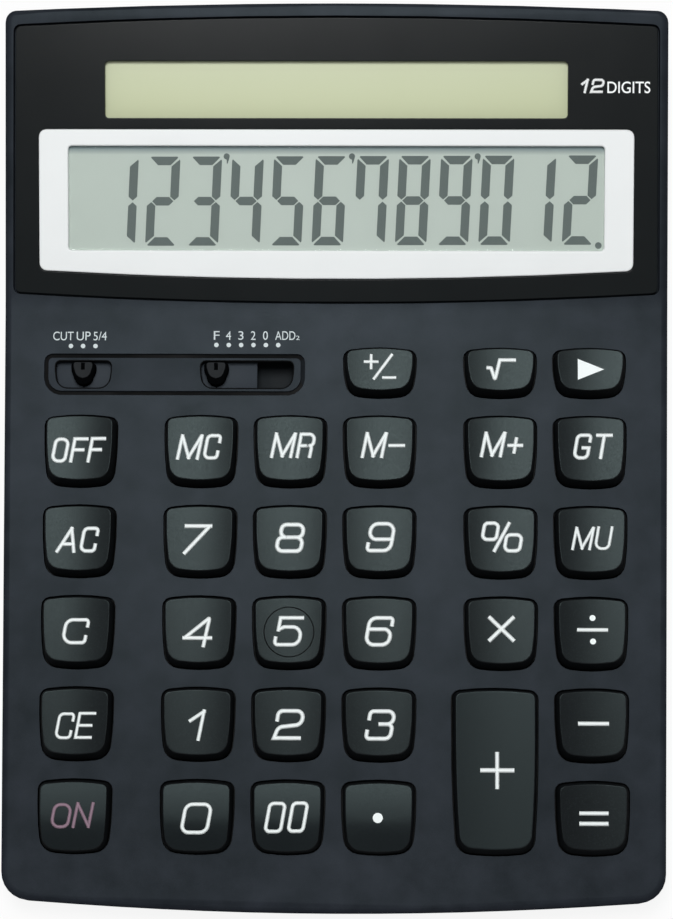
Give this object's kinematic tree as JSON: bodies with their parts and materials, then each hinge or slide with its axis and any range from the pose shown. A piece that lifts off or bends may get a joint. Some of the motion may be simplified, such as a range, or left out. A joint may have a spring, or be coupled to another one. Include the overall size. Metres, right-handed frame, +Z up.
{
  "type": "desktop calculator",
  "caption": "Desktop calculator: wedge case with a sloping deck of press keys, two slide switches, and a steeper head with a liquid crystal display and a solar cell.",
  "frame": {"origin": "middle of the footprint, on the table under the feet", "axes": "+X to the user's right, +Y away from the user towards the display, +Z up"},
  "size_m": [0.1498, 0.201, 0.0363],
  "materials": {
    "case_plastic": "charcoal, finely textured",
    "key_plastic": "dark grey, satin",
    "panel_gloss": "black, polished",
    "frame_white": "white",
    "window_clear": "clear",
    "display_glass": "grey-green, reflective back",
    "solar_cell": "pale yellow-green",
    "holder_plastic": "light grey",
    "ribbon": "amber film",
    "lead": "red",
    "silicone": "pale",
    "board": "green laminate",
    "resin": "black",
    "capacitor": "sleeved",
    "screw_steel": "plated",
    "foot_rubber": "black",
    "slide_plastic": "grey",
    "contact_metal": "sprung"
  },
  "bodies": {
    "case": {"upper_case_deck": "case_plastic", "upper_case_head": "case_plastic", "lower_case": "case_plastic", "display_panel": "panel_gloss", "display_frame": "frame_white", "display_window": "window_clear", "display_glass": "display_glass", "solar_cell": "solar_cell", "display_holder": "holder_plastic", "display_ribbon": "ribbon", "solar_leads": "lead", "dome_sheet": "silicone", "circuit_board": "board", "processor": "resin", "capacitor": "capacitor", "board_screws": "screw_steel", "case_screws": "screw_steel", "feet": "foot_rubber"},
    "key_sign": {"key_sign": "key_plastic"},
    "key_root": {"key_root": "key_plastic"},
    "key_back": {"key_back": "key_plastic"},
    "key_off": {"key_off": "key_plastic"},
    "key_mc": {"key_mc": "key_plastic"},
    "key_mr": {"key_mr": "key_plastic"},
    "key_m_minus": {"key_m_minus": "key_plastic"},
    "key_m_plus": {"key_m_plus": "key_plastic"},
    "key_gt": {"key_gt": "key_plastic"},
    "key_ac": {"key_ac": "key_plastic"},
    "key_7": {"key_7": "key_plastic"},
    "key_8": {"key_8": "key_plastic"},
    "key_9": {"key_9": "key_plastic"},
    "key_percent": {"key_percent": "key_plastic"},
    "key_mu": {"key_mu": "key_plastic"},
    "key_c": {"key_c": "key_plastic"},
    "key_4": {"key_4": "key_plastic"},
    "key_5": {"key_5": "key_plastic"},
    "key_6": {"key_6": "key_plastic"},
    "key_times": {"key_times": "key_plastic"},
    "key_divide": {"key_divide": "key_plastic"},
    "key_ce": {"key_ce": "key_plastic"},
    "key_1": {"key_1": "key_plastic"},
    "key_2": {"key_2": "key_plastic"},
    "key_3": {"key_3": "key_plastic"},
    "key_plus": {"key_plus": "key_plastic"},
    "key_minus": {"key_minus": "key_plastic"},
    "key_on": {"key_on": "key_plastic"},
    "key_0": {"key_0": "key_plastic"},
    "key_00": {"key_00": "key_plastic"},
    "key_point": {"key_point": "key_plastic"},
    "key_equals": {"key_equals": "key_plastic"},
    "rounding_switch": {"rounding_slide": "slide_plastic", "rounding_wiper": "contact_metal"},
    "decimal_switch": {"decimal_slide": "slide_plastic", "decimal_wiper": "contact_metal"}
  },
  "joints": [
    {"name": "key_sign_press", "type": "slide", "parent": "case", "child": "key_sign", "axis": [0, 0.0523, -0.9986], "range_m": [0, 0.0015], "stiffness_N_per_m": 200, "springref_m": -0.001, "deforming": ["dome_sheet"]},
    {"name": "key_root_press", "type": "slide", "parent": "case", "child": "key_root", "axis": [0, 0.0523, -0.9986], "range_m": [0, 0.0015], "stiffness_N_per_m": 200, "springref_m": -0.001, "deforming": ["dome_sheet"]},
    {"name": "key_back_press", "type": "slide", "parent": "case", "child": "key_back", "axis": [0, 0.0523, -0.9986], "range_m": [0, 0.0015], "stiffness_N_per_m": 200, "springref_m": -0.001, "deforming": ["dome_sheet"]},
    {"name": "key_off_press", "type": "slide", "parent": "case", "child": "key_off", "axis": [0, 0.0523, -0.9986], "range_m": [0, 0.0015], "stiffness_N_per_m": 200, "springref_m": -0.001, "deforming": ["dome_sheet"]},
    {"name": "key_mc_press", "type": "slide", "parent": "case", "child": "key_mc", "axis": [0, 0.0523, -0.9986], "range_m": [0, 0.0015], "stiffness_N_per_m": 200, "springref_m": -0.001, "deforming": ["dome_sheet"]},
    {"name": "key_mr_press", "type": "slide", "parent": "case", "child": "key_mr", "axis": [0, 0.0523, -0.9986], "range_m": [0, 0.0015], "stiffness_N_per_m": 200, "springref_m": -0.001, "deforming": ["dome_sheet"]},
    {"name": "key_m_minus_press", "type": "slide", "parent": "case", "child": "key_m_minus", "axis": [0, 0.0523, -0.9986], "range_m": [0, 0.0015], "stiffness_N_per_m": 200, "springref_m": -0.001, "deforming": ["dome_sheet"]},
    {"name": "key_m_plus_press", "type": "slide", "parent": "case", "child": "key_m_plus", "axis": [0, 0.0523, -0.9986], "range_m": [0, 0.0015], "stiffness_N_per_m": 200, "springref_m": -0.001, "deforming": ["dome_sheet"]},
    {"name": "key_gt_press", "type": "slide", "parent": "case", "child": "key_gt", "axis": [0, 0.0523, -0.9986], "range_m": [0, 0.0015], "stiffness_N_per_m": 200, "springref_m": -0.001, "deforming": ["dome_sheet"]},
    {"name": "key_ac_press", "type": "slide", "parent": "case", "child": "key_ac", "axis": [0, 0.0523, -0.9986], "range_m": [0, 0.0015], "stiffness_N_per_m": 200, "springref_m": -0.001, "deforming": ["dome_sheet"]},
    {"name": "key_7_press", "type": "slide", "parent": "case", "child": "key_7", "axis": [0, 0.0523, -0.9986], "range_m": [0, 0.0015], "stiffness_N_per_m": 200, "springref_m": -0.001, "deforming": ["dome_sheet"]},
    {"name": "key_8_press", "type": "slide", "parent": "case", "child": "key_8", "axis": [0, 0.0523, -0.9986], "range_m": [0, 0.0015], "stiffness_N_per_m": 200, "springref_m": -0.001, "deforming": ["dome_sheet"]},
    {"name": "key_9_press", "type": "slide", "parent": "case", "child": "key_9", "axis": [0, 0.0523, -0.9986], "range_m": [0, 0.0015], "stiffness_N_per_m": 200, "springref_m": -0.001, "deforming": ["dome_sheet"]},
    {"name": "key_percent_press", "type": "slide", "parent": "case", "child": "key_percent", "axis": [0, 0.0523, -0.9986], "range_m": [0, 0.0015], "stiffness_N_per_m": 200, "springref_m": -0.001, "deforming": ["dome_sheet"]},
    {"name": "key_mu_press", "type": "slide", "parent": "case", "child": "key_mu", "axis": [0, 0.0523, -0.9986], "range_m": [0, 0.0015], "stiffness_N_per_m": 200, "springref_m": -0.001, "deforming": ["dome_sheet"]},
    {"name": "key_c_press", "type": "slide", "parent": "case", "child": "key_c", "axis": [0, 0.0523, -0.9986], "range_m": [0, 0.0015], "stiffness_N_per_m": 200, "springref_m": -0.001, "deforming": ["dome_sheet"]},
    {"name": "key_4_press", "type": "slide", "parent": "case", "child": "key_4", "axis": [0, 0.0523, -0.9986], "range_m": [0, 0.0015], "stiffness_N_per_m": 200, "springref_m": -0.001, "deforming": ["dome_sheet"]},
    {"name": "key_5_press", "type": "slide", "parent": "case", "child": "key_5", "axis": [0, 0.0523, -0.9986], "range_m": [0, 0.0015], "stiffness_N_per_m": 200, "springref_m": -0.001, "deforming": ["dome_sheet"]},
    {"name": "key_6_press", "type": "slide", "parent": "case", "child": "key_6", "axis": [0, 0.0523, -0.9986], "range_m": [0, 0.0015], "stiffness_N_per_m": 200, "springref_m": -0.001, "deforming": ["dome_sheet"]},
    {"name": "key_times_press", "type": "slide", "parent": "case", "child": "key_times", "axis": [0, 0.0523, -0.9986], "range_m": [0, 0.0015], "stiffness_N_per_m": 200, "springref_m": -0.001, "deforming": ["dome_sheet"]},
    {"name": "key_divide_press", "type": "slide", "parent": "case", "child": "key_divide", "axis": [0, 0.0523, -0.9986], "range_m": [0, 0.0015], "stiffness_N_per_m": 200, "springref_m": -0.001, "deforming": ["dome_sheet"]},
    {"name": "key_ce_press", "type": "slide", "parent": "case", "child": "key_ce", "axis": [0, 0.0523, -0.9986], "range_m": [0, 0.0015], "stiffness_N_per_m": 200, "springref_m": -0.001, "deforming": ["dome_sheet"]},
    {"name": "key_1_press", "type": "slide", "parent": "case", "child": "key_1", "axis": [0, 0.0523, -0.9986], "range_m": [0, 0.0015], "stiffness_N_per_m": 200, "springref_m": -0.001, "deforming": ["dome_sheet"]},
    {"name": "key_2_press", "type": "slide", "parent": "case", "child": "key_2", "axis": [0, 0.0523, -0.9986], "range_m": [0, 0.0015], "stiffness_N_per_m": 200, "springref_m": -0.001, "deforming": ["dome_sheet"]},
    {"name": "key_3_press", "type": "slide", "parent": "case", "child": "key_3", "axis": [0, 0.0523, -0.9986], "range_m": [0, 0.0015], "stiffness_N_per_m": 200, "springref_m": -0.001, "deforming": ["dome_sheet"]},
    {"name": "key_plus_press", "type": "slide", "parent": "case", "child": "key_plus", "axis": [0, 0.0523, -0.9986], "range_m": [0, 0.0015], "stiffness_N_per_m": 300, "springref_m": -0.001, "deforming": ["dome_sheet"]},
    {"name": "key_minus_press", "type": "slide", "parent": "case", "child": "key_minus", "axis": [0, 0.0523, -0.9986], "range_m": [0, 0.0015], "stiffness_N_per_m": 200, "springref_m": -0.001, "deforming": ["dome_sheet"]},
    {"name": "key_on_press", "type": "slide", "parent": "case", "child": "key_on", "axis": [0, 0.0523, -0.9986], "range_m": [0, 0.0015], "stiffness_N_per_m": 200, "springref_m": -0.001, "deforming": ["dome_sheet"]},
    {"name": "key_0_press", "type": "slide", "parent": "case", "child": "key_0", "axis": [0, 0.0523, -0.9986], "range_m": [0, 0.0015], "stiffness_N_per_m": 200, "springref_m": -0.001, "deforming": ["dome_sheet"]},
    {"name": "key_00_press", "type": "slide", "parent": "case", "child": "key_00", "axis": [0, 0.0523, -0.9986], "range_m": [0, 0.0015], "stiffness_N_per_m": 200, "springref_m": -0.001, "deforming": ["dome_sheet"]},
    {"name": "key_point_press", "type": "slide", "parent": "case", "child": "key_point", "axis": [0, 0.0523, -0.9986], "range_m": [0, 0.0015], "stiffness_N_per_m": 200, "springref_m": -0.001, "deforming": ["dome_sheet"]},
    {"name": "key_equals_press", "type": "slide", "parent": "case", "child": "key_equals", "axis": [0, 0.0523, -0.9986], "range_m": [0, 0.0015], "stiffness_N_per_m": 200, "springref_m": -0.001, "deforming": ["dome_sheet"]},
    {"name": "rounding_slide", "type": "slide", "parent": "case", "child": "rounding_switch", "axis": [1, 0, 0], "range_m": [-0.00278, 0.00278]},
    {"name": "decimal_slide", "type": "slide", "parent": "case", "child": "decimal_switch", "axis": [1, 0, 0], "range_m": [0, 0.0139]}
  ]
}
